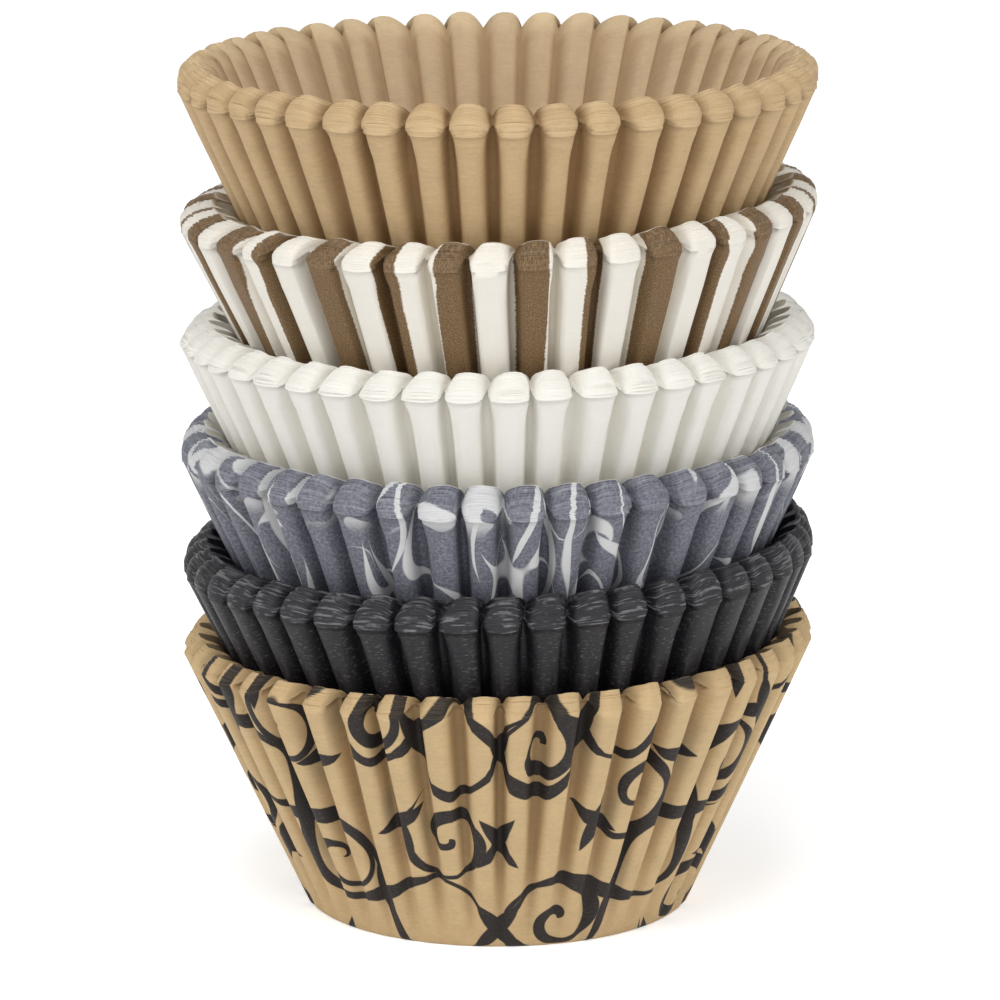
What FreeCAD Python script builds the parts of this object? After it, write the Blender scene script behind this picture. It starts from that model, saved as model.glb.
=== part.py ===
import FreeCAD
import Part
import math
import os

# A column of fluted paper baking cups: six nests, each pressed from many liners, stand one in
# another. Every nest is one solid with a folded outer wall, a band where the liners' cut edges
# climb inwards, a folded inner wall and a floor. Millimetres, +Z up, origin under the bottom nest.

os.makedirs("parts", exist_ok=True)
doc = FreeCAD.newDocument("liner_stack")
sheet = doc.addObject("Spreadsheet::Sheet", "sizes")

sizes = [
    ("floor_radius", 24.0, "radius of the flat floor of the outermost liner"),
    ("rim_radius", 39.2, "radius over the flute crests at the outermost liner's cut edge"),
    ("rim_height", 32.9, "height of the outermost liner's cut edge"),
    ("flute_count", 45, "flutes round one liner"),
    ("flute_depth", 3.0, "crest to valley at the outermost cut edge"),
    ("floor_inset", 1.0, "how much smaller the innermost floor is"),
    ("bulb_drop", 3.2, "how far under the cut edge the lobes begin to swell"),
    ("brow_rise", 0.9, "height over the outermost cut edge at which the band turns inwards"),
    ("wall_lobe", 0.56, "share of the pitch that a crest takes in the wall"),
    ("edge_lobe", 0.78, "share of the pitch that a crest takes at the cut edge"),
    ("brow_lobe", 0.90, "share of the pitch that a crest takes at the brow, its widest place"),
    ("mouth_lobe", 0.60, "share of the pitch that a groove takes in the mouth"),
    ("shoulder_drop", 0.26, "share of the flute depth at which a crest's shoulders lie"),
    ("mouth_depth", 2.4, "crest to valley at the innermost cut edge"),
    ("notch_depth", 1.9, "how far the innermost edge dips between two lobes"),
    ("mouth_inset", 4.9, "how far inside the crests the inward ridges of the top nest's mouth lie"),
    ("seat_gap", 0.25, "clearance between a nest and the mouth that it stands in"),
    ("bottom_band", 2.45, "height of the bottom nest's band over its outermost cut edge"),
    ("bottom_slant", 1.5, "degrees by which the bottom nest's rim leans up to +X"),
    ("bottom_turn", 4.4, "degrees from -Y towards +X of the bottom nest's first crest"),
    ("black_rise", 12.05, "rim of the black nest above the one under it"),
    ("black_band", 3.9, "height of its own band"),
    ("black_tilt", 2.3, "degrees by which its right side is raised"),
    ("black_turn", 0.6, "its first crest"),
    ("slate_rise", 13.4, "rim of the slate nest above the one under it"),
    ("slate_band", 3.9, "height of its own band"),
    ("slate_tilt", 0.7, "degrees by which its right side is raised"),
    ("slate_turn", 5.0, "its first crest"),
    ("white_rise", 13.4, "rim of the white nest above the one under it"),
    ("white_band", 3.05, "height of its own band"),
    ("white_tilt", 1.0, "degrees by which its right side is raised"),
    ("white_turn", 2.0, "its first crest"),
    ("striped_rise", 15.5, "rim of the striped nest above the one under it"),
    ("striped_band", 3.0, "height of its own band"),
    ("striped_tilt", 2.3, "degrees by which its right side is raised"),
    ("striped_turn", 6.6, "its first crest"),
    ("kraft_rise", 16.3, "rim of the kraft nest above the one under it"),
    ("kraft_band", 3.6, "height of its own band"),
    ("kraft_tilt", 0.5, "degrees by which its right side is raised"),
    ("kraft_turn", 3.0, "its first crest"),
]
for row, (alias, value, note) in enumerate(sizes, start=1):
    sheet.set("A%d" % row, alias)
    sheet.set("B%d" % row, str(value))
    sheet.setAlias("B%d" % row, alias)
    sheet.set("C%d" % row, note)
doc.recompute()

fluteCount = int(sheet.flute_count)
pitch = 2 * math.pi / fluteCount
flare = (sheet.rim_radius - sheet.floor_radius) / sheet.rim_height


def wallRadius(height):
    """Radius over the crests of the outermost liner at a height above its floor."""
    return sheet.floor_radius + flare * height


def ring(height, crestRadius, depth, lobe, turn, centre=0.0, slant=0.0, notch=0.0):
    """Four points to a flute (valley, shoulder, crest, shoulder), as one list round the nest."""
    shoulder = crestRadius - depth * sheet.shoulder_drop
    profile = [
        (-0.5, crestRadius - depth, height - notch),
        (-0.5 * lobe, shoulder, height),
        (0.0, crestRadius, height),
        (0.5 * lobe, shoulder, height),
    ]
    points = []
    for flute in range(fluteCount):
        for step, radius, level in profile:
            angle = math.radians(turn) + (flute + step) * pitch
            x = centre + radius * math.sin(angle)
            y = -radius * math.cos(angle)
            points.append(FreeCAD.Vector(x, y, level + x * math.tan(slant)))
    return points


def floorRing(height, radius, turn):
    """A plain polygon with one corner to each valley and each crest; shoulders fall on the crest."""
    return ring(height, radius, 0.0, 0.0, turn)


def folds(lower, upper):
    """Flat triangles between two rings, mirrored about each crest like the creases of the paper."""
    faces = []
    count = len(lower)
    for near in range(count):
        far = (near + 1) % count
        rising = near % 4 < 2
        if rising:
            triangles = [(lower[near], upper[far], upper[near]), (lower[near], lower[far], upper[far])]
        else:
            triangles = [(lower[near], lower[far], upper[near]), (lower[far], upper[far], upper[near])]
        for corners in triangles:
            sides = [corners[i].distanceToPoint(corners[i - 1]) for i in range(3)]
            if min(sides) > 1e-6:
                faces.append(Part.Face(Part.makePolygon(list(corners) + [corners[0]])))
    return faces


def floorFace(points):
    """The flat floor inside a plain ring."""
    corners = [point for i, point in enumerate(points) if point.distanceToPoint(points[i - 1]) > 1e-6]
    return Part.Face(Part.makePolygon(corners + [corners[0]]))


def nestShape(band, turn, mouthRadius, mouthCentre, slant):
    """One nest in its own frame: base at the origin, axis along +Z. Its liners are as thick together
    at the floor as its band is high at the rim."""
    nestHeight = sheet.rim_height + band
    lowBulb = sheet.rim_height - sheet.bulb_drop
    brow = sheet.rim_height + sheet.brow_rise

    def lean(height):
        return math.radians(slant) * height / nestHeight

    rings = [
        floorRing(0.0, sheet.floor_radius, turn),
        ring(lowBulb, wallRadius(lowBulb), sheet.flute_depth, sheet.wall_lobe, turn, slant=lean(lowBulb)),
        ring(sheet.rim_height, sheet.rim_radius, sheet.flute_depth, sheet.edge_lobe, turn,
             slant=lean(sheet.rim_height)),
        ring(brow, sheet.rim_radius, sheet.flute_depth, sheet.brow_lobe, turn, slant=lean(brow)),
        ring(nestHeight, mouthRadius + sheet.mouth_depth, sheet.mouth_depth, sheet.mouth_lobe, turn,
             centre=mouthCentre, slant=lean(nestHeight), notch=sheet.notch_depth),
        floorRing(band, sheet.floor_radius - sheet.floor_inset, turn),
    ]
    faces = [floorFace(rings[0]), floorFace(rings[-1])]
    for lower, upper in zip(rings, rings[1:]):
        faces += folds(lower, upper)
    solid = Part.Solid(Part.Shell(faces))
    if solid.Volume < 0:
        solid.reverse()
    return solid


# Nests from the bottom up: node name, prefix of its own sizes in the sheet.
nests = [
    ("patterned_kraft_nest", "bottom"),
    ("black_nest", "black"),
    ("slate_swirl_nest", "slate"),
    ("white_nest", "white"),
    ("striped_nest", "striped"),
    ("plain_kraft_nest", "kraft"),
]


def nestHeightOf(prefix):
    """From a nest's base to its innermost rim."""
    return sheet.rim_height + sheet.get(prefix + "_band")


def rimPose(index, rimHeight):
    """Height of a nest's innermost rim and its tilt in degrees: all rims share one upright axis."""
    prefix = nests[index][1]
    if index == 0:
        return nestHeightOf(prefix), 0.0, sheet.bottom_slant
    tilt = sheet.get(prefix + "_tilt")
    return rimHeight + sheet.get(prefix + "_rise"), tilt, tilt


def seat(lowerRim, lowerTilt, upperRim, upperTilt, upperHeight):
    """Where the upper nest passes the inward ridges of the lower one's mouth: the radius of its
    crests there and how far sideways the lower mouth is pushed, in the lower rim's own plane."""
    lean = math.radians(upperTilt)
    relative = math.radians(upperTilt - lowerTilt)
    lift = upperRim - lowerRim + sheet.notch_depth
    drop = lift / math.cos(lean)
    sideways = lift * math.tan(lean)
    crest = wallRadius(upperHeight - drop)
    return crest, sideways - crest * flare * math.tan(relative)


rimHeight = 0.0
poses = []
for index in range(len(nests)):
    rimHeight, bodyTilt, rimTilt = rimPose(index, rimHeight)
    poses.append((rimHeight, bodyTilt, rimTilt))

pieces = []
for index, (node, prefix) in enumerate(nests):
    rim, bodyTilt, rimTilt = poses[index]
    mouthRadius = sheet.rim_radius - sheet.mouth_inset
    mouthCentre = 0.0
    if index + 1 < len(nests):
        upperRim, upperTilt, _ = poses[index + 1]
        upperHeight = nestHeightOf(nests[index + 1][1])
        crest, mouthCentre = seat(rim, rimTilt, upperRim, upperTilt, upperHeight)
        mouthRadius = crest + sheet.seat_gap
    slant = rimTilt - bodyTilt
    piece = doc.addObject("Part::Feature", node)
    piece.Label = node
    band = sheet.get(prefix + "_band")
    piece.Shape = nestShape(band, sheet.get(prefix + "_turn"), mouthRadius, mouthCentre, slant)
    turn = FreeCAD.Rotation(FreeCAD.Vector(0, 1, 0), -bodyTilt)
    base = FreeCAD.Vector(0, 0, rim) - turn.multVec(FreeCAD.Vector(0, 0, nestHeightOf(prefix)))
    piece.Placement = FreeCAD.Placement(base, turn)
    pieces.append(piece)
    print(node, "rim at %.2f, mouth radius %.2f, mouth pushed %.2f" % (rim, mouthRadius, mouthCentre))

doc.recompute()
for item in doc.Objects:
    if "Invalid" in item.State or "Error" in item.State:
        raise RuntimeError("object failed: " + item.Name)
for piece in pieces:
    if piece.Shape.isNull() or not piece.Shape.isValid() or not piece.Shape.isClosed():
        raise RuntimeError("solid failed: " + piece.Label)
    print(piece.Label, len(piece.Shape.Solids), "solid", len(piece.Shape.Faces), "faces",
          "%.1f cm3" % (piece.Shape.Volume / 1000))
    piece.Shape.exportStep("parts/%s.step" % piece.Label)
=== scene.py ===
import bpy
import math
import numpy as np
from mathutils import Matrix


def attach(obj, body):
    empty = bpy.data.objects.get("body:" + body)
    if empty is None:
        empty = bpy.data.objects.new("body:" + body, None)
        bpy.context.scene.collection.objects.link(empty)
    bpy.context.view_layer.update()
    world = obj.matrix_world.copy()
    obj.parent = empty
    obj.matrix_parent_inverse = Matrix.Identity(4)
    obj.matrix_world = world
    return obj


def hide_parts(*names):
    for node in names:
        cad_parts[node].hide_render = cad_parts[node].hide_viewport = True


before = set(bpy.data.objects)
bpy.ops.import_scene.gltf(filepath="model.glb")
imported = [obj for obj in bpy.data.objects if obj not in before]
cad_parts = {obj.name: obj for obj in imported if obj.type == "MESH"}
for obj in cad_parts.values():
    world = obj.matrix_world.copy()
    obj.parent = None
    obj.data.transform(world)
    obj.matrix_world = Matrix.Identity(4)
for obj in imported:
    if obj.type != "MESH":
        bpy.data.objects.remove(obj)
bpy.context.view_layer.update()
mm = 0.001

# What every liner shares, in millimetres on the folded cup and on its flat round blank.
liner = {
    "flutes": 45,
    "floorRadius": 24.0,
    "rimRadius": 39.15,        # over the crests at the outermost cut edge
    "rimHeight": 32.9,         # of the outermost cut edge
    "fluteDepth": 3.0,
    "perNest": 25,
    "floorInset": 1.0,         # how much smaller the innermost floor is
    "notch": 1.9,              # how far the innermost edge dips between two lobes
    "rimCrown": 0.10,          # what the lobes' crown gains at the rim
    "mouthInset": 4.9,         # rim crests to the top nest's inward ridges
    "seatGap": 0.25,           # between a nest and the mouth it stands in
}
flare = (liner["rimRadius"] - liner["floorRadius"]) / liner["rimHeight"]
slantFactor = math.sqrt(1 + flare ** 2)
blankRadius = liner["floorRadius"] + liner["rimHeight"] * slantFactor

# How far the folding is off, by chance: spread of place, sway and width in shares of a flute, and
# of one sheet's cut edge in millimetres. It grows over the height reach from the height start.
# standBack is the share of a gap that a sheet stands back, and glow the least and the most
# painted highlight on a cut edge, before glowGain.
uneven = {
    "place": 0.035, "sway": 0.05, "width": 0.045, "edge": 0.035, "start": 12, "reach": 16,
    "standBack": (-0.4, 1.5), "glow": (0.1, 1.0), "glowGain": 1.4,
}
# The valley mask, painted shade at the bottom of each flute, comes in up to this height, and grows
# by gap for each millimetre stood back, as painted shadow under sheets that stand back.
paintedShade = {"rise": 12, "gap": 4}
drawnSheets = liner["perNest"] + 2      # chance is drawn for sheets 0 to 25 and a spare


def smooth(x):
    # 3 x squared less 2 x cubed, with x held between 0 and 1.
    x = np.clip(x, 0.0, 1.0)
    return x * x * (3 - 2 * x)


def wallRadius(height):
    # Straight flare: floor radius plus flare times height.
    return liner["floorRadius"] + flare * height


def mouthOf(here, above):
    # The mouth's ridges lie one seat gap outside the crests of the nest above, where the innermost
    # edge dips, and the mouth is pushed sideways as far as that nest's lean carries it.
    if above is None:
        return liner["rimRadius"] - liner["mouthInset"], 0.0
    lean = math.radians(above["lean"])
    relative = lean - math.radians(here["lean"] + here["slant"])
    lift = above["rim"] - here["rim"] + liner["notch"]
    crest = wallRadius(liner["rimHeight"] + above["band"] - lift / math.cos(lean))
    return crest + liner["seatGap"], lift * math.tan(lean) - crest * flare * math.tan(relative)


# Columns: places across one flute, -0.5 and 0.5 in its valleys and 0 on its crest, closer together
# on the flanks.
across = np.array([-0.5, -0.46, -0.415, -0.36, -0.29, -0.20, -0.07,
                   0.07, 0.20, 0.29, 0.36, 0.415, 0.46])
fluteOf = np.repeat(np.arange(liner["flutes"]), len(across))
phase = np.tile(across, liner["flutes"])


def lobe(place, share, softness, crown):
    # 0 on the crest and 1 in the valley: crown times (place / half share) to the power 2.2 over the
    # crest, then a smooth flank as wide as twice the softness, all as shares of the pitch.
    widest = 0.465
    edge = np.abs(place)
    half = np.minimum(0.5 * share, widest)
    soft = np.minimum(softness, 0.5 - half)
    over = np.minimum(crown * (edge / half) ** 2.2, crown)
    flank = smooth((edge - half + soft) / (2 * soft))
    return over * (1 - flank) + flank


def foldedDepth(height):
    # Crest to valley that takes up the blank's extra edge: half a pitch times the square root of
    # (blank circle / cup circle) squared less one.
    radius = wallRadius(height)
    ratio = (liner["floorRadius"] + height * slantFactor) / radius
    return math.pi * radius / liner["flutes"] * np.sqrt(ratio ** 2 - 1)


def lobeShare(look, above):
    # Share of the pitch that a lobe takes, by height over the outermost cut edge: even in the wall,
    # swelling to the brow, then back along a quarter circle to the mouth.
    swellFrom = 4.5     # below the cut edge
    swelling = np.clip((above + swellFrom) / (swellFrom + look["brow"]), 0, 1) ** 1.6
    closing = np.clip((above - look["brow"]) / (look["band"] - look["brow"]), 0, 1)
    return look["wallShare"] + look["swell"] * swelling * (0.2 + 0.8 * np.sqrt(1 - closing ** 2))


def row(radius, depth, share, softness, crown, height, valley=0.0, arch=0.0, shift=0.0, blank=0.0,
        printed=1.0, cut=0.0, layer=0, back=0.0, edge=0):
    # One row round the nest: crest radius, depth, lobe share, softness, crown, height at the crest,
    # rise in the valley, arch (drop towards the valley), sideways shift, blank radius, printed, cut
    # edge (its share of painted highlight), layer, how far the sheet stands back, and which sheet's
    # uneven edge the row follows.
    return (radius, depth, share, softness, crown, height, valley, arch, shift, blank, printed, cut,
            layer, back, edge)


def floorRows():
    # Flat rings under the floor, the last a little inside its corner and lifted off the ground.
    floor = liner["floorRadius"]
    unfolded = (0, 0.6, 0.2, 0.3)       # no depth, so that the lobe's own shape doesn't show
    rows = [row(floor * part, *unfolded, 0, blank=floor * part) for part in (0.35, 0.7, 0.93)]
    return rows + [row(floor - 0.25, *unfolded, 0.04, blank=floor - 0.3)]


def wallRows(look):
    # Up the outermost wall: crests on the flare and depth as the blank needs, with softer creases
    # by the floor. It stands back a little under the first cut edge and has the rim's depth there.
    rim = liner["rimHeight"]
    creased, nearRim = 14, 5      # millimetres from the floor and from the rim
    depthTaken = 0.97             # share of the depth that the blank needs
    heights = np.concatenate([[0.35, 1.2, 2.4, 4, 6], np.linspace(8.5, 25.5, 8),
                              np.linspace(26.7, rim, 9)])
    rows = []
    for height in heights:
        crease = 1 - smooth(height / creased)
        near = smooth((height - rim) / nearRim + 1)
        depth = foldedDepth(height) * depthTaken * (1 - near) + liner["fluteDepth"] * near
        softness = look["softness"] * (1 - 0.25 * near) + 0.14 * crease
        crown = look["crown"] + 0.12 * crease + liner["rimCrown"] * near
        blank = liner["floorRadius"] + height * slantFactor
        rows.append(row(wallRadius(height) - look["tuck"] * near, depth,
                        lobeShare(look, height - rim), softness, crown, height,
                        valley=(height / rim) ** 2, blank=blank))
    return rows


def bandRows(look, mouthCrest, mouthShift, rng):
    # The cut edges, sheet by sheet, each with an underside, a face and a top. Their crests go
    # inwards from the brow as 1 - (1 - closing to the power round) to the power 1 / round. A few
    # sheets stand back and leave a dark line under them: real shadow in the recess, deepened by
    # painted shade through the valley mask.
    count = liner["perNest"]
    rim, nestRise = liner["rimHeight"], look["band"]
    pressed, gapStep, gapFoot, topInset = 0.02, 0.9, 0.09, 0.005
    stepSpread, gapSpread, footShare = (0.6, 1.4), (0.7, 1.2), 0.35
    reach = 0.985     # just short of the mouth, where the curve would stand upright
    candidates = np.arange(2, 2 + int(look["gapReach"] * (count - 3)))
    chosen = rng.choice(candidates, look["gapCount"], replace=False)
    gaps = np.full(count, pressed)
    gaps[chosen] = look["gap"] * rng.uniform(*gapSpread, look["gapCount"])
    steps = rng.uniform(*stepSpread, count)
    steps[chosen] += gapStep
    climb = np.concatenate([[0.0], np.cumsum(steps[1:]) / np.sum(steps[1:])]) * nestRise
    rows = []
    for layer in range(1, count):
        along = climb[layer] / nestRise
        closing = np.clip((climb[layer] - look["brow"]) / (nestRise - look["brow"]), 0, 1)
        inward = 1 - (1 - reach * closing ** look["round"]) ** (1 / look["round"])
        radius = liner["rimRadius"] * (1 - inward) + mouthCrest * inward
        depth = liner["fluteDepth"] * (1 - along) + look["mouthDepth"] * along
        lobes = (depth, lobeShare(look, climb[layer]), look["softness"] * (0.75 + 0.5 * along),
                 look["crown"] + liner["rimCrown"])
        sheet = {"valley": 1.0 - along, "arch": liner["notch"] * along ** look["arch"],
                 "shift": mouthShift * inward, "blank": blankRadius + look["margin"] * climb[layer],
                 "layer": layer}
        bottom, top = rim + climb[layer - 1], rim + climb[layer]
        ledge = pressed if layer > 1 else 0.0
        foot, footBack = footShare * (top - bottom), 0
        if layer in chosen:
            foot, footBack = gapFoot, gaps[layer]
        # cut is how much painted highlight each row of a cut edge gets.
        rows += [
            row(radius - ledge, *lobes, bottom, cut=0.7, back=gaps[layer], edge=layer - 1, **sheet),
            row(radius, *lobes, bottom + foot, cut=0.15, back=footBack, edge=layer - 1, **sheet),
            row(radius - topInset, *lobes, top, cut=0.6, edge=layer, **sheet),
        ]
    return rows


def innerRows(look, mouthCrest, mouthShift):
    # The innermost sheet: its cut edge, its wall from the mouth straight down to the floor, with
    # flutes that run out there, and the floor inside.
    count = liner["perNest"]
    nestRise = look["band"]
    nestHeight = liner["rimHeight"] + nestRise
    floorHeight, floor = nestRise + 0.25, liner["floorRadius"] - liner["floorInset"]
    share = lobeShare(look, nestRise)
    softness, crown = 0.14, 0.2
    edgeInset, wallInset = 0.06, 0.10
    rows = [row(mouthCrest - edgeInset, look["mouthDepth"], share, softness, crown, nestHeight,
                arch=liner["notch"], shift=mouthShift, blank=blankRadius, printed=0, cut=1,
                layer=count)]
    for part in np.linspace(0, 1, 15)[1:]:
        height = nestHeight + (floorHeight - nestHeight) * part
        radius = (mouthCrest - wallInset) * (1 - part) + (floor - wallInset) * part
        depth = look["mouthDepth"] * (1 - part ** 2.2)
        blank = liner["floorRadius"] + (height - nestRise) * slantFactor
        rows.append(row(radius, depth, share, softness + 0.1 * part, crown, height,
                        arch=liner["notch"] * (1 - part) ** 2, shift=mouthShift * (1 - part),
                        blank=blank, printed=0, layer=count))
    for part in (0.95, 0.7, 0.35):
        rows.append(row(floor * part, 0, 0.6, 0.2, crown, nestRise, blank=floor * part, printed=0,
                        layer=count))
    return rows


def nestSurface(look, above):
    # Point at (flute angle, row): x = shift + r sin(angle), y = -r cos(angle), with r = crest
    # radius less depth times lobe, then the whole nest is tipped by its lean about the Y axis.
    rng = np.random.default_rng(look["seed"])
    mouthRadius, mouthShift = mouthOf(look, above)
    mouthCrest = mouthRadius + look["mouthDepth"]
    rows = (floorRows() + wallRows(look) + bandRows(look, mouthCrest, mouthShift, rng)
            + innerRows(look, mouthCrest, mouthShift))
    (radius, depth, share, softness, crown, height, valley, arch, shift, blank, printed, cut, layer,
     back, edge) = np.array(rows).T[:, :, None]
    flutes = liner["flutes"]
    perSheet = (drawnSheets, flutes)
    nestHeight = liner["rimHeight"] + look["band"]
    # Each flute is a little off its place, width and reach, and each sheet a little off its height.
    toCrest = np.cos(math.pi * phase)
    onCrest = toCrest[None, :] ** 2
    tall = smooth((height - uneven["start"]) / uneven["reach"])
    offset = rng.normal(0, uneven["place"], flutes)[fluteOf] * toCrest
    sway = rng.normal(0, uneven["sway"], flutes)[fluteOf] * toCrest
    width = 1 + rng.normal(0, uneven["width"], flutes)[fluteOf]
    sunk = np.abs(rng.normal(0, look["jitter"], flutes))[fluteOf]
    raised = rng.uniform(-look["ragged"], 0, flutes)[fluteOf]
    layerIndex = layer.astype(int)[:, 0]
    edgeNoise = rng.normal(0, uneven["edge"], perSheet)
    edgeNoise[[0, liner["perNest"] - 1]] = 0
    edgeNoise = edgeNoise[edge.astype(int)[:, 0]][:, fluteOf]
    backLeast, backMost = uneven["standBack"]
    backNoise = np.clip(rng.uniform(backLeast, backMost, perSheet), 0, backMost)
    # How much painted highlight the cut edge of each sheet gets.
    edgeHighlightGain = uneven["glowGain"] * rng.uniform(*uneven["glow"], perSheet) ** look["glow"]
    amount = np.clip(lobe(phase[None, :], share * width[None, :], softness, crown), 0, 1)
    folded = radius - depth * amount
    stoodBack = back * backNoise[layerIndex][:, fluteOf] * np.clip(1.4 * onCrest, 0, 1)
    r = folded - sunk[None, :] * tall * onCrest - stoodBack
    place = (fluteOf + phase + offset)[None, :] + sway[None, :] * tall
    angle = math.radians(look["turn"]) + place * 2 * math.pi / flutes
    z = height + valley * amount ** 2 * (height > 0) - arch * np.abs(2 * phase)[None, :] ** 2.6
    z = z + tall * raised[None, :] * onCrest + edgeNoise * onCrest
    x = shift + r * np.sin(angle)
    y = -r * np.cos(angle)
    slant = math.tan(math.radians(look["slant"])) * np.clip(height / nestHeight, 0, 1)
    z = z + x * slant * (height > 0.2)
    # The blank's own angle follows the paper's length round each row, so a print breaks at the
    # folds, and every sheet lies turned a little.
    ringX, ringY = folded * np.sin(angle), folded * np.cos(angle)
    step = np.hypot(np.diff(np.append(ringX, ringX[:, :1], 1)),
                    np.diff(np.append(ringY, ringY[:, :1], 1)))
    run = (np.cumsum(step, 1) - step) / step.sum(1, keepdims=True)
    turned = math.radians(look["turn"]) + (run - 0.5 / flutes) * 2 * math.pi
    slip = rng.normal(0, 1, drawnSheets)[layerIndex][:, None]
    turned = turned + slip * look["slip"] * (layer > 0)
    lean = math.radians(look["lean"])
    down = z - nestHeight
    world = np.stack([x * math.cos(lean) - down * math.sin(lean), y,
                      look["rim"] + x * math.sin(lean) + down * math.cos(lean)], -1)
    flat = np.stack([blank * np.sin(turned), -blank * np.cos(turned), np.zeros_like(turned)], -1)
    masks = {
        "printed": printed + 0 * r,
        # Painted highlight on the cut edges, by row and by sheet.
        "cutEdgeHighlight": np.clip(cut * edgeHighlightGain[layerIndex][:, fluteOf], 0, 1),
        # Painted shade, darker down each flute and under sheets that stand back.
        "valley": np.clip(amount * np.clip(height / paintedShade["rise"], 0, 1)
                          + paintedShade["gap"] * stoodBack, 0, 1),
        "layer": layer / liner["perNest"] + 0 * r,
    }
    return world * mm, flat * mm, masks


def closedMesh(name, points, attributes, vectors):
    # Quads between rows, wrapped round, with a centre point in the first row and one in the last,
    # each the mean of its row.
    rows, cols = points.shape[:2]
    index = np.arange(rows * cols).reshape(rows, cols)
    nextCol = np.roll(index, -1, 1)
    quads = np.stack([index[:-1], nextCol[:-1], nextCol[1:], index[1:]], -1).reshape(-1, 4)
    low, high = rows * cols, rows * cols + 1
    lowFan = np.stack([np.full(cols, low), nextCol[0], index[0]], -1)
    highFan = np.stack([np.full(cols, high), index[-1], nextCol[-1]], -1)
    centres = np.stack([points[0].mean(0), points[-1].mean(0)])
    everything = np.concatenate([points.reshape(-1, 3), centres])
    mesh = bpy.data.meshes.new(name)
    mesh.from_pydata(everything.tolist(), [], quads.tolist() + lowFan.tolist() + highFan.tolist())
    for key, values in attributes.items():
        layer = mesh.attributes.new(key, "FLOAT", "POINT")
        flat = np.concatenate([values.ravel(), [values[0, 0], values[-1, 0]]])
        layer.data.foreach_set("value", flat.astype(np.float32))
    for key, values in vectors.items():
        layer = mesh.attributes.new(key, "FLOAT_VECTOR", "POINT")
        flat = np.concatenate([values.reshape(-1, 3), np.zeros((2, 3))])
        layer.data.foreach_set("vector", flat.astype(np.float32).ravel())
    mesh.polygons.foreach_set("use_smooth", np.ones(len(mesh.polygons), bool))
    mesh.update()
    piece = bpy.data.objects.new(name, mesh)
    bpy.context.scene.collection.objects.link(piece)
    return piece


def join(tree, socket, value):
    # Links another node's output to a socket, or sets the socket to a plain value.
    if isinstance(value, bpy.types.NodeSocket):
        tree.links.new(value, socket)
    else:
        socket.default_value = value


def put(tree, kind, inputs=None, **settings):
    # One node with its settings and its inputs.
    made = tree.nodes.new(kind)
    for key, value in settings.items():
        setattr(made, key, value)
    for key, value in (inputs or {}).items():
        join(tree, made.inputs[key], value)
    return made


def calc(tree, operation, *values):
    return put(tree, "ShaderNodeMath", dict(enumerate(values)), operation=operation).outputs[0]


def chain(tree, operation, values):
    total = values[0]
    for value in values[1:]:
        total = calc(tree, operation, total, value)
    return total


def plus(tree, *values):
    return chain(tree, "ADD", values)


def times(tree, *values):
    return chain(tree, "MULTIPLY", values)


def highest(tree, *values):
    return chain(tree, "MAXIMUM", values)


def minus(tree, first, second):
    return calc(tree, "SUBTRACT", first, second)


def noise(tree, vector, scale, detail=2.0, roughness=0.5, distortion=0.0):
    return put(tree, "ShaderNodeTexNoise",
               {"Vector": vector, "Scale": scale, "Detail": detail, "Roughness": roughness,
                "Distortion": distortion}).outputs["Fac"]


def band(tree, value, low, high):
    # 0 at low and 1 at high, with a soft start and end; low may be the greater of the two.
    return put(tree, "ShaderNodeMapRange",
               {"Value": value, "From Min": low, "From Max": high, "To Min": 0.0, "To Max": 1.0},
               interpolation_type="SMOOTHSTEP", clamp=True).outputs[0]


def mix(tree, factor, first, second, blend="MIX"):
    # Its sockets 0, 6 and 7 are the factor and the two colours.
    made = put(tree, "ShaderNodeMix", data_type="RGBA", blend_type=blend)
    for place, value in ((0, factor), (6, first), (7, second)):
        join(tree, made.inputs[place], value)
    return made.outputs[2]


def stretch(tree, vector, scale):
    return put(tree, "ShaderNodeMapping", {"Vector": vector, "Scale": scale}).outputs[0]


def attribute(tree, name, output="Fac"):
    return put(tree, "ShaderNodeAttribute", attribute_name=name).outputs[output]


def newGroup(name, inputs, outputs):
    group = bpy.data.node_groups.new(name, "ShaderNodeTree")
    for label, kind, value in inputs:
        socket = group.interface.new_socket(label, in_out="INPUT", socket_type=kind)
        socket.default_value = value
    for label, kind in outputs:
        group.interface.new_socket(label, in_out="OUTPUT", socket_type=kind)
    given = group.nodes.new("NodeGroupInput").outputs
    return group, given, group.nodes.new("NodeGroupOutput").inputs


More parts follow.
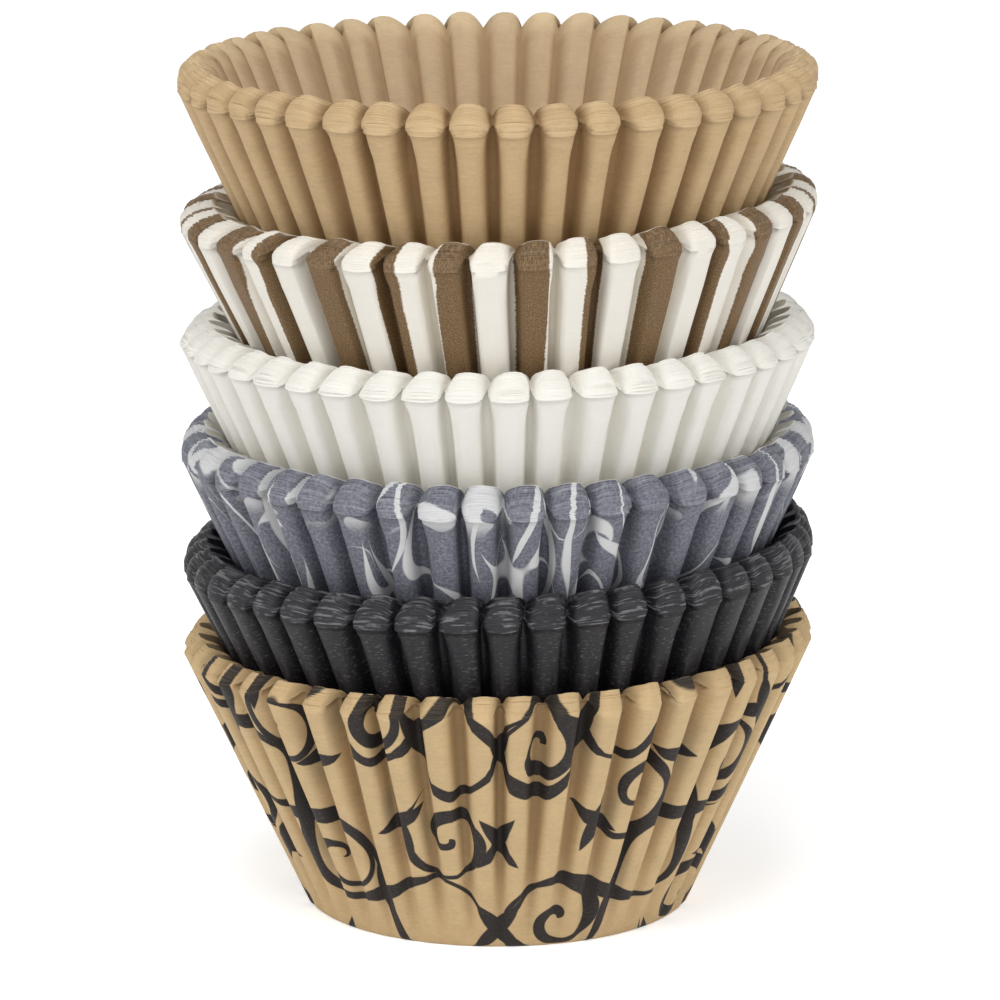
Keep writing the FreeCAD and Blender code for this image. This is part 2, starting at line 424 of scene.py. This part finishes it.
def makeFlatPlace():
    # Where a point lies on its flat blank: across and along it and out from its centre in
    # millimetres, turns round it, a ring vector (unit direction times 50 mm, and the way out) for
    # patterns that run round or up the wall, a sheets vector (unit direction, and 0 to 2 through
    # the stacked sheets), 1 where the printed side shows, and 0 to 1 through the sheets.
    vectors = [(label, "NodeSocketVector") for label in ("Vector", "Ring", "Sheets")]
    numbers = [(label, "NodeSocketFloat")
               for label in ("Across", "Along", "Turns", "Out", "Printed", "Layer")]
    group, _, result = newGroup("flatPlace", [], vectors + numbers)
    ringRadius, sheetsRise = 50 * mm, 2.0
    blank = attribute(group, "blank", "Vector")
    layer = attribute(group, "layer")
    parts = put(group, "ShaderNodeSeparateXYZ", {0: blank}).outputs
    out = put(group, "ShaderNodeVectorMath", {0: blank}, operation="LENGTH").outputs["Value"]
    way = put(group, "ShaderNodeVectorMath", {0: blank}, operation="NORMALIZE").outputs["Vector"]
    way = put(group, "ShaderNodeSeparateXYZ", {0: way}).outputs
    bearing = calc(group, "ARCTAN2", parts[0], times(group, parts[1], -1.0))
    made = {
        "Vector": blank,
        "Ring": put(group, "ShaderNodeCombineXYZ",
                    {0: times(group, way[0], ringRadius), 1: times(group, way[1], ringRadius),
                     2: out}).outputs[0],
        "Sheets": put(group, "ShaderNodeCombineXYZ",
                      {0: way[0], 1: way[1], 2: times(group, layer, sheetsRise)}).outputs[0],
        "Across": calc(group, "DIVIDE", parts[0], mm),
        "Along": calc(group, "DIVIDE", parts[1], mm),
        "Turns": calc(group, "DIVIDE", bearing, 2 * math.pi),
        "Out": calc(group, "DIVIDE", out, mm),
        "Printed": attribute(group, "printed"),
        "Layer": layer,
    }
    for label, socket in made.items():
        group.links.new(socket, result[label])
    return group


def makePaperFibres():
    # Greaseproof paper: soft clouds a few millimetres wide, creases that run round the wall, fine
    # fibres and specks, painted glints on the wall, and broken arcs of painted light and shade
    # along the cut edges of single sheets. Tone multiplies the colour, Fleck, Glint and Arc are
    # masks,
    # Height feeds a bump.
    group, given, result = newGroup(
        "paperFibres",
        [("Blank", "NodeSocketVector", (0, 0, 0)), ("Ring", "NodeSocketVector", (0, 0, 0)),
         ("Sheets", "NodeSocketVector", (0, 0, 0)), ("Clouds", "NodeSocketFloat", 0.1),
         ("Fibres", "NodeSocketFloat", 0.1)],
        [("Tone", "NodeSocketFloat"), ("Fleck", "NodeSocketFloat"), ("Glint", "NodeSocketFloat"),
         ("Arc", "NodeSocketFloat"), ("Height", "NodeSocketFloat")])
    creased = stretch(group, given["Ring"], (1.0, 1.0, 5.0))
    streaked = stretch(group, given["Ring"], (1.0, 1.0, 3.0))
    cloud = noise(group, given["Blank"], 240.0, detail=3.0, roughness=0.6)
    crease = noise(group, creased, 560.0, detail=3.0, roughness=0.6)
    fibre = noise(group, given["Blank"], 2400.0, detail=3.0, roughness=0.7, distortion=0.5)
    streak = noise(group, streaked, 1900.0, detail=2.0, roughness=0.6)
    speck = noise(group, given["Blank"], 4200.0, detail=2.0, roughness=0.7)
    arc = noise(group, given["Sheets"], 17.0, detail=3.0, roughness=0.6)
    fine = plus(group, times(group, crease, 0.6), times(group, fibre, 0.4))
    cloudPart = times(group, minus(group, cloud, 0.5), given["Clouds"], 2.0)
    finePart = times(group, minus(group, fine, 0.5), given["Fibres"], 2.0)
    made = {
        "Tone": plus(group, 1.0, cloudPart, finePart),
        "Fleck": band(group, speck, 0.64, 0.74),
        "Glint": band(group, streak, 0.57, 0.70),
        "Arc": band(group, arc, 0.52, 0.64),
        "Height": plus(group, crease, times(group, fibre, 0.5)),
    }
    for label, socket in made.items():
        group.links.new(socket, result[label])
    return group


def makeFoldShade():
    # Painted shade, warmer and dimmer, for light that has passed through several folds: colour
    # times the valley tint by how far down the flute a place is (to the power 1.6). Cut edges mix
    # towards their painted highlight colour.
    group, given, result = newGroup(
        "foldShade",
        [("Color", "NodeSocketColor", (1, 1, 1, 1)),
         ("Valley Shade Tint", "NodeSocketColor", (0.5, 0.4, 0.3, 1)), ("Depth", "NodeSocketFloat", 0.7),
         ("Edge Highlight Color", "NodeSocketColor", (1, 1, 1, 1)), ("Edge", "NodeSocketFloat", 0.3),
         ("Tone", "NodeSocketFloat", 1.0)],
        [("Color", "NodeSocketColor")])
    onEdgeHighlight = times(group, attribute(group, "cutEdgeHighlight"), given["Edge"])
    toned = mix(group, 1.0, given["Color"], given["Tone"], "MULTIPLY")
    highlighted = mix(group, onEdgeHighlight, toned, given["Edge Highlight Color"])
    valleyShade = mix(group, 1.0, highlighted, given["Valley Shade Tint"], "MULTIPLY")
    amount = times(group, calc(group, "POWER", attribute(group, "valley"), 1.6), given["Depth"])
    group.links.new(mix(group, amount, highlighted, valleyShade), result["Color"])
    return group


flatPlace = makeFlatPlace()
paperFibres = makePaperFibres()
foldShade = makeFoldShade()
print("node groups: flatPlace, paperFibres, foldShade")


def noPrint(tree, place, base, look):
    return base


def brownStripes(tree, place, base, look):
    # One brown and one white stripe to a period of turns times the count, plus a sine of the turns
    # for the sheet that slipped as it was pressed. Each edge wanders slowly, and a fine noise frays
    # it. The brown is speckled with a lighter one.
    slow = noise(tree, stretch(tree, place["Ring"], (1.0, 1.0, 0.15)), 150.0, detail=0.0)
    fine = noise(tree, place["Vector"], 3000.0)
    slipped = calc(tree, "SINE", times(tree, place["Turns"], 2 * math.pi))
    moved = plus(tree, times(tree, place["Turns"], look["stripes"]), look["shift"],
                 times(tree, slipped, look["pressSlip"]),
                 times(tree, minus(tree, slow, 0.5), look["wander"]),
                 times(tree, minus(tree, fine, 0.5), look["fray"]))
    edge = look["inkShare"]
    ink = band(tree, calc(tree, "PINGPONG", moved, 0.5), edge + look["soft"], edge - look["soft"])
    grain = noise(tree, place["Vector"], 6500.0, roughness=0.6)
    brown = mix(tree, band(tree, grain, 0.40, 0.66), look["ink"], look["inkLight"])
    return mix(tree, times(tree, ink, place["Printed"]), base, brown)


def whiteSwirls(tree, place, base, look):
    # Slate ground with loose strokes left white: each stroke is where a slow noise passes its
    # middle value, wide or thin by a second noise and gone where that is low, plus some bold white
    # places near the edge.
    grain = noise(tree, place["Vector"], 2600.0, roughness=0.6)
    slate = mix(tree, band(tree, grain, 0.35, 0.7), look["ink"], look["inkLight"])
    drawn = stretch(tree, place["Ring"], (1.0, 1.0, 0.45))
    white = []
    for shift, scale, wide in look["strokes"]:
        moved = put(tree, "ShaderNodeVectorMath", {0: drawn, 1: (shift, shift, shift)},
                    operation="ADD").outputs[0]
        level = noise(tree, moved, scale, detail=0.0, distortion=0.6)
        taper = band(tree, noise(tree, moved, 130.0, detail=0.0), 0.40, 0.62)
        away = calc(tree, "ABSOLUTE", minus(tree, level, 0.5))
        white.append(band(tree, minus(tree, times(tree, taper, wide), away), -0.001, 0.004))
    bold = noise(tree, place["Ring"], 130.0, detail=1.0, distortion=1.0)
    bold = band(tree, bold, look["patchLow"], look["patchLow"] + 0.02)
    nearEdge = band(tree, place["Out"], blankRadius - 3.0, blankRadius + 0.5)
    white.append(times(tree, bold, nearEdge))
    return mix(tree, place["Printed"], base, mix(tree, highest(tree, *white), slate, base))


def cell(tree, value, shift, size):
    # A place in a row of equal cells, from minus half a cell to half a cell.
    return calc(tree, "WRAP", minus(tree, value, shift), size * 0.5, -size * 0.5)


def darkTrellis(tree, place, base, look):
    # Ogee trellis, along = +-half tall times sin(2 pi across / wide), a curl (a line where radius
    # over its spacing plus bearing is a whole number) in each opening and two leaves on each
    # crossing, half width less than leafHalf (1 - (u / leaf) squared). A slow noise makes strokes
    # thick and thin.
    wide, tall = look["wide"], look["tall"]
    across, along = place["Across"], place["Along"]
    pressure = band(tree, noise(tree, place["Vector"], 85.0, detail=0.0), 0.30, 0.72)
    half = times(tree, plus(tree, 0.35, pressure), look["weight"] * 0.5)
    turn = times(tree, across, 2 * math.pi / wide)
    swing = times(tree, calc(tree, "SINE", turn), tall * 0.5)
    slope = times(tree, calc(tree, "COSINE", turn), math.pi * tall / wide)
    steep = calc(tree, "SQRT", plus(tree, 1.0, times(tree, slope, slope)))
    strokes = []
    for sign in (1.0, -1.0):
        near = calc(tree, "PINGPONG", minus(tree, along, times(tree, swing, sign)), tall)
        strokes.append(minus(tree, half, calc(tree, "DIVIDE", near, steep)))
    for shiftX, shiftY, spin in ((0.25, 0.0, 1.0), (0.75, 0.5, -1.0)):
        x = cell(tree, across, shiftX * wide, wide)
        y = cell(tree, along, shiftY * 2 * tall, 2 * tall)
        radius = calc(tree, "SQRT", plus(tree, times(tree, x, x), times(tree, y, y)))
        bearing = times(tree, calc(tree, "ARCTAN2", y, x), spin / (2 * math.pi))
        arms = plus(tree, calc(tree, "DIVIDE", radius, look["curl"]), bearing)
        away = times(tree, calc(tree, "PINGPONG", arms, 0.5), look["curl"])
        within = minus(tree, tall * look["curlReach"], radius)
        strokes.append(calc(tree, "MINIMUM", minus(tree, half, away), within))
    for shiftX in (0.0, 0.5):
        x = cell(tree, across, shiftX * wide, wide)
        y = cell(tree, along, 0.0, tall)
        for tilt in (look["leafTilt"], -look["leafTilt"]):
            cosine, sine = math.cos(tilt), math.sin(tilt)
            u = plus(tree, times(tree, x, cosine), times(tree, y, sine))
            v = minus(tree, times(tree, y, cosine), times(tree, x, sine))
            reach = calc(tree, "DIVIDE", u, look["leaf"])
            body = times(tree, minus(tree, 1.0, times(tree, reach, reach)), look["leafHalf"])
            strokes.append(minus(tree, body, calc(tree, "ABSOLUTE", v)))
    ink = band(tree, highest(tree, *strokes), -0.08, 0.08)
    dark = mix(tree, noise(tree, place["Vector"], 2600.0), look["ink"], look["inkLight"])
    return mix(tree, times(tree, ink, place["Printed"]), base, dark)


def paperMaterial(look):
    # Sheet colour with flecks, the print over it, painted glints on the wall and painted light and
    # shade arcs on the cut edges, then the painted shade of the folds and the painted highlight on
    # the cut edges.
    material = bpy.data.materials.new(look["slot"])
    material.use_nodes = True
    tree = material.node_tree
    shader = tree.nodes["Principled BSDF"]
    place = put(tree, "ShaderNodeGroup", node_tree=flatPlace).outputs
    fibres = put(tree, "ShaderNodeGroup",
                 {"Blank": place["Vector"], "Ring": place["Ring"], "Sheets": place["Sheets"],
                  "Clouds": look["clouds"], "Fibres": look["fibres"]},
                 node_tree=paperFibres).outputs
    sheet = mix(tree, place["Printed"], look["inside"], look["sheet"])
    flecked = mix(tree, times(tree, fibres["Fleck"], look["fleckShare"]), sheet, look["fleck"])
    inked = look["print"](tree, place, flecked, look)
    onWall = band(tree, place["Layer"], 0.04, 0.0)
    inBand = times(tree, minus(tree, 1.0, onWall), place["Printed"])
    glints = times(tree, fibres["Glint"], onWall, look["glintShare"])
    arcs = times(tree, fibres["Arc"], inBand, look["arcShare"])
    lit = mix(tree, arcs, mix(tree, glints, inked, look["glint"]), look["arc"])
    shade = put(tree, "ShaderNodeGroup",
                {"Color": lit, "Tone": fibres["Tone"], "Valley Shade Tint": look["valleyShade"],
                 "Depth": look["depth"], "Edge Highlight Color": look["edge"], "Edge": look["edgeHighlightShare"]},
                node_tree=foldShade)
    bump = put(tree, "ShaderNodeBump", {"Height": fibres["Height"], "Strength": look["bump"],
                                        "Distance": 0.08 * mm})
    tree.links.new(shade.outputs["Color"], shader.inputs["Base Color"])
    tree.links.new(bump.outputs["Normal"], shader.inputs["Normal"])
    shader.inputs["Roughness"].default_value = look["roughness"]
    shader.inputs["Specular IOR Level"].default_value = look["specular"]
    return material


# Paper colours are linear. The valley tint multiplies them at the bottom of a flute, by depth, as
# painted shade. edge is a painted highlight on the cut edges, arc painted light and shade lines
# along them, glint painted glints and fleck the paper's own specks; all four are mixed in by
# their shares, and glow makes the bright cut edges fewer.
kraftSheet = {
    "sheet": (0.545, 0.385, 0.21, 1), "inside": (0.56, 0.42, 0.26, 1),
    "valleyShade": (0.36, 0.24, 0.11, 1), "depth": 0.68,
    "edge": (0.72, 0.56, 0.34, 1), "edgeHighlightShare": 0.6, "glow": 1.5,
    "arc": (0.40, 0.27, 0.13, 1), "arcShare": 0.25,
    "fleck": (0.30, 0.18, 0.08, 1), "fleckShare": 0.30,
    "glint": (0.68, 0.53, 0.33, 1), "glintShare": 0.25,
    "clouds": 0.12, "fibres": 0.22, "roughness": 0.7, "specular": 0.3, "bump": 0.4, "tuck": 0.10,
}
whiteSheet = {
    "sheet": (0.79, 0.77, 0.70, 1), "inside": (0.79, 0.77, 0.70, 1),
    "valleyShade": (0.84, 0.81, 0.76, 1), "depth": 0.7,
    "edge": (0.89, 0.87, 0.82, 1), "edgeHighlightShare": 0.8, "glow": 1.5,
    "arc": (0.70, 0.68, 0.63, 1), "arcShare": 0.15,
    "fleck": (0.72, 0.69, 0.62, 1), "fleckShare": 0.1,
    "glint": (0.82, 0.80, 0.74, 1), "glintShare": 0.2,
    "clouds": 0.03, "fibres": 0.05, "roughness": 0.6, "specular": 0.35, "bump": 0.25, "tuck": 0.12,
}

# One dictionary for each nest, bottom to top. rim is the innermost edge's height, band how far it
# lies over the outermost one, lean raises the +X side in degrees, slant tips the rim of a nest
# whose floor stays level, and turn is the first crest's place from -Y towards +X in degrees. brow,
# round, arch and mouthDepth shape the band, wallShare, swell, softness and crown the lobes, and
# tuck sets the wall back under it. The gap values are for sheets that stand back, jitter and ragged
# for uneven flutes, slip for turned sheets, margin for print that reaches on over the cut edges,
# and the rest for the paper and its print.
patternedKraftLiners = {
    **kraftSheet, "name": "patternedKraftLiners", "node": "patterned_kraft_nest",
    "slot": "patterned_kraft_paper", "seed": 11,
    "rim": 35.35, "band": 2.45, "lean": 0.0, "slant": 1.5, "turn": 4.4,
    "brow": 0.0, "round": 1.3, "arch": 1.0, "mouthDepth": 2.9,
    "wallShare": 0.64, "swell": 0.04, "softness": 0.13, "crown": 0.14, "tuck": 0.0,
    "gap": 0.06, "gapCount": 3, "gapReach": 0.9,
    "jitter": 0.12, "ragged": 0.25, "slip": 0.0005, "margin": 0.3,
    "print": darkTrellis, "wide": 32.0, "tall": 13.5, "weight": 1.6,
    "curl": 5.0, "curlReach": 0.56, "leaf": 5.0, "leafHalf": 1.1, "leafTilt": 0.9,
    "ink": (0.011, 0.008, 0.008, 1), "inkLight": (0.030, 0.024, 0.022, 1),
    "sheet": (0.60, 0.435, 0.235, 1), "valleyShade": (0.30, 0.21, 0.12, 1), "depth": 0.55,
    "arcShare": 0.08, "edgeHighlightShare": 0.10, "glintShare": 0.06,
}
blackLiners = {
    **whiteSheet, "name": "blackLiners", "node": "black_nest", "slot": "black_paper", "seed": 12,
    "rim": 47.4, "band": 3.9, "lean": 2.3, "slant": 0.0, "turn": 0.6,
    "brow": 0.9, "round": 1.8, "arch": 0.8, "mouthDepth": 2.7,
    "wallShare": 0.68, "swell": 0.24, "softness": 0.10, "crown": 0.18, "tuck": 0.06,
    "gap": 0.06, "gapCount": 6, "gapReach": 1.0,
    "jitter": 0.12, "ragged": 0.25, "slip": 0.001, "margin": 0.3,
    "print": noPrint,
    "sheet": (0.013, 0.012, 0.0145, 1), "inside": (0.013, 0.012, 0.0145, 1),
    "valleyShade": (0.65, 0.62, 0.68, 1),
    "edge": (0.10, 0.098, 0.105, 1), "edgeHighlightShare": 0.25, "glow": 5.0,
    "arc": (0.31, 0.31, 0.32, 1), "arcShare": 0.45,
    "fleck": (0.12, 0.12, 0.13, 1), "fleckShare": 0.3,
    "glint": (0.17, 0.17, 0.18, 1), "glintShare": 0.45,
    "clouds": 0.25, "fibres": 0.5, "roughness": 0.5, "specular": 0.3, "bump": 0.5,
}
slateSwirlLiners = {
    **whiteSheet, "name": "slateSwirlLiners", "node": "slate_swirl_nest",
    "slot": "slate_swirl_paper", "seed": 13,
    "rim": 60.8, "band": 3.9, "lean": 0.7, "slant": 0.0, "turn": 5.0,
    "brow": 1.2, "round": 2.0, "arch": 0.8, "mouthDepth": 2.7,
    "wallShare": 0.68, "swell": 0.24, "softness": 0.10, "crown": 0.18,
    "gap": 0.05, "gapCount": 6, "gapReach": 1.0,
    "jitter": 0.12, "ragged": 0.2, "slip": 0.0007, "margin": 0.6,
    "print": whiteSwirls, "patchLow": 0.54,
    # Each kind of stroke by its shift, scale and width.
    "strokes": ((0.0, 66.0, 0.021), (0.37, 84.0, 0.018), (0.81, 120.0, 0.016)),
    "sheet": (0.64, 0.64, 0.64, 1),
    "ink": (0.112, 0.116, 0.146, 1), "inkLight": (0.210, 0.216, 0.255, 1),
    "valleyShade": (0.72, 0.72, 0.75, 1), "edge": (0.50, 0.51, 0.54, 1), "edgeHighlightShare": 0.4, "glow": 4.0,
    "arc": (0.42, 0.43, 0.46, 1), "arcShare": 0.3, "glintShare": 0.12,
}
whiteLiners = {
    **whiteSheet, "name": "whiteLiners", "node": "white_nest", "slot": "white_paper", "seed": 14,
    "rim": 74.2, "band": 3.05, "lean": 1.0, "slant": 0.0, "turn": 2.0,
    "brow": 0.3, "round": 1.7, "arch": 0.8, "mouthDepth": 3.0,
    "wallShare": 0.68, "swell": 0.24, "softness": 0.11, "crown": 0.22,
    "gap": 0.12, "gapCount": 4, "gapReach": 0.55,
    "jitter": 0.12, "ragged": 0.2, "slip": 0.001, "margin": 0.3,
    "print": noPrint, "sheet": (0.84, 0.82, 0.76, 1), "valleyShade": (1.0, 0.99, 0.97, 1),
}
stripedLiners = {
    **whiteSheet, "name": "stripedLiners", "node": "striped_nest", "slot": "striped_paper",
    "seed": 15,
    "rim": 89.7, "band": 3.0, "lean": 2.3, "slant": 0.0, "turn": 6.6,
    "brow": 0.9, "round": 1.8, "arch": 1.6, "mouthDepth": 3.0,
    "wallShare": 0.72, "swell": 0.12, "softness": 0.06, "crown": 0.07, "tuck": 0.02,
    "gap": 0.06, "gapCount": 3, "gapReach": 0.8,
    "jitter": 0.14, "ragged": 0.25, "slip": 0.0004, "margin": 0.3,
    "print": brownStripes, "stripes": 30, "shift": 0.61, "pressSlip": -0.315,   # in periods
    "inkShare": 0.205, "wander": 0.25, "fray": 0.03, "soft": 0.008,
    "ink": (0.114, 0.063, 0.025, 1), "inkLight": (0.250, 0.156, 0.067, 1),
    "sheet": (0.845, 0.805, 0.725, 1), "valleyShade": (0.80, 0.765, 0.70, 1),
    "arc": (0.45, 0.33, 0.18, 1), "arcShare": 0.06, "edgeHighlightShare": 0.06, "glintShare": 0.05,
}
plainKraftLiners = {
    **kraftSheet, "name": "plainKraftLiners", "node": "plain_kraft_nest",
    "slot": "plain_kraft_paper", "seed": 16,
    "rim": 106.0, "band": 3.6, "lean": 0.5, "slant": 0.0, "turn": 3.0,
    "brow": 1.4, "round": 2.0, "arch": 0.8, "mouthDepth": 2.4,
    "wallShare": 0.66, "swell": 0.27, "softness": 0.12, "crown": 0.26,
    "gap": 0.06, "gapCount": 6, "gapReach": 0.55,
    "jitter": 0.10, "ragged": 0.2, "slip": 0.001, "margin": 0.3,
    "print": noPrint,
}
nests = [patternedKraftLiners, blackLiners, slateSwirlLiners, whiteLiners, stripedLiners,
         plainKraftLiners]

for look, above in zip(nests, nests[1:] + [None]):
    points, blank, masks = nestSurface(look, above)
    piece = closedMesh(look["name"], points, masks, {"blank": blank})
    piece.data.materials.append(paperMaterial(look))
    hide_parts(look["node"])
    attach(piece, "root")
    print(look["name"], "triangles", sum(len(p.vertices) - 2 for p in piece.data.polygons))

# Floor, light and camera, in metres, watts and degrees. fill is the world's strength as a light.
studio = {
    "floorSize": 8.0, "floorColor": (0.92, 0.92, 0.92, 1), "floorRoughness": 0.9, "floorGlow": 0.50,
    "fill": 0.42, "aim": (0, 0, 0.05),
    "lamps": {     # place, size, watts
        "topLamp": ((-0.10, -0.45, 0.95), 0.50, 4.6),
        "leftLamp": ((-0.80, -0.50, 0.40), 0.40, 2.4),
        "rightLamp": ((0.75, -0.60, 0.35), 0.45, 2.8),
    },
}
view = {"back": 0.6996, "side": 0.0003, "height": 0.2142, "down": 13.18, "lens": 208.8}


def seenStraight(tree):
    # 1 for what the camera sees, straight or by way of a surface, and 0 for plain light.
    rays = tree.nodes.new("ShaderNodeLightPath").outputs
    return highest(tree, rays["Is Camera Ray"], rays["Is Glossy Ray"], rays["Is Transmission Ray"])


def floorMaterial():
    # Lights the object as the pale ground that it is, and shows a touch brighter, so that it meets
    # the white background.
    material = bpy.data.materials.new("studioFloorPaint")
    material.use_nodes = True
    tree = material.node_tree
    shader = tree.nodes["Principled BSDF"]
    shader.inputs["Base Color"].default_value = studio["floorColor"]
    shader.inputs["Roughness"].default_value = studio["floorRoughness"]
    shader.inputs["Emission Color"].default_value = (1, 1, 1, 1)
    tree.links.new(times(tree, seenStraight(tree), studio["floorGlow"]),
                   shader.inputs["Emission Strength"])
    return material


def softLamp(name, place, size, watts):
    # Square lamp turned to the aim: tipped by the angle from straight down, then swung to its side.
    lamp = bpy.data.lights.new(name, "AREA")
    lamp.size = size
    lamp.energy = watts
    holder = bpy.data.objects.new(name, lamp)
    bpy.context.scene.collection.objects.link(holder)
    holder.location = place
    x, y, z = np.array(studio["aim"]) - np.array(place)
    holder.rotation_euler = (math.atan2(math.hypot(x, y), -z), 0, math.atan2(-x, y))


bpy.ops.mesh.primitive_plane_add(size=studio["floorSize"], location=(0, 0, 0))
floorPlane = bpy.context.object
floorPlane.name = "studioFloor"
floorPlane.data.materials.append(floorMaterial())

# The world is white to the camera and dimmer as a light: fill + seen times (1 - fill).
world = bpy.data.worlds.new("studioWorld")
bpy.context.scene.world = world
world.use_nodes = True
worldTree = world.node_tree
background = worldTree.nodes["Background"].inputs
background["Color"].default_value = (1, 1, 1, 1)
brightness = plus(worldTree, studio["fill"],
                  times(worldTree, seenStraight(worldTree), 1.0 - studio["fill"]))
worldTree.links.new(brightness, background["Strength"])
for name, (place, size, watts) in studio["lamps"].items():
    softLamp(name, place, size, watts)
print("floor, world and", len(studio["lamps"]), "lamps")

camera = bpy.data.cameras.new("photoCamera")
camera.lens = view["lens"]
camera.sensor_width = 36
camera.clip_start = 0.05
cameraHolder = bpy.data.objects.new("photoCamera", camera)
bpy.context.scene.collection.objects.link(cameraHolder)
cameraHolder.location = (view["side"], -view["back"], view["height"])
cameraHolder.rotation_euler = (math.radians(90 - view["down"]), 0, 0)
bpy.context.scene.camera = cameraHolder
bpy.context.scene.view_settings.view_transform = "Standard"
print("camera at", tuple(cameraHolder.location))
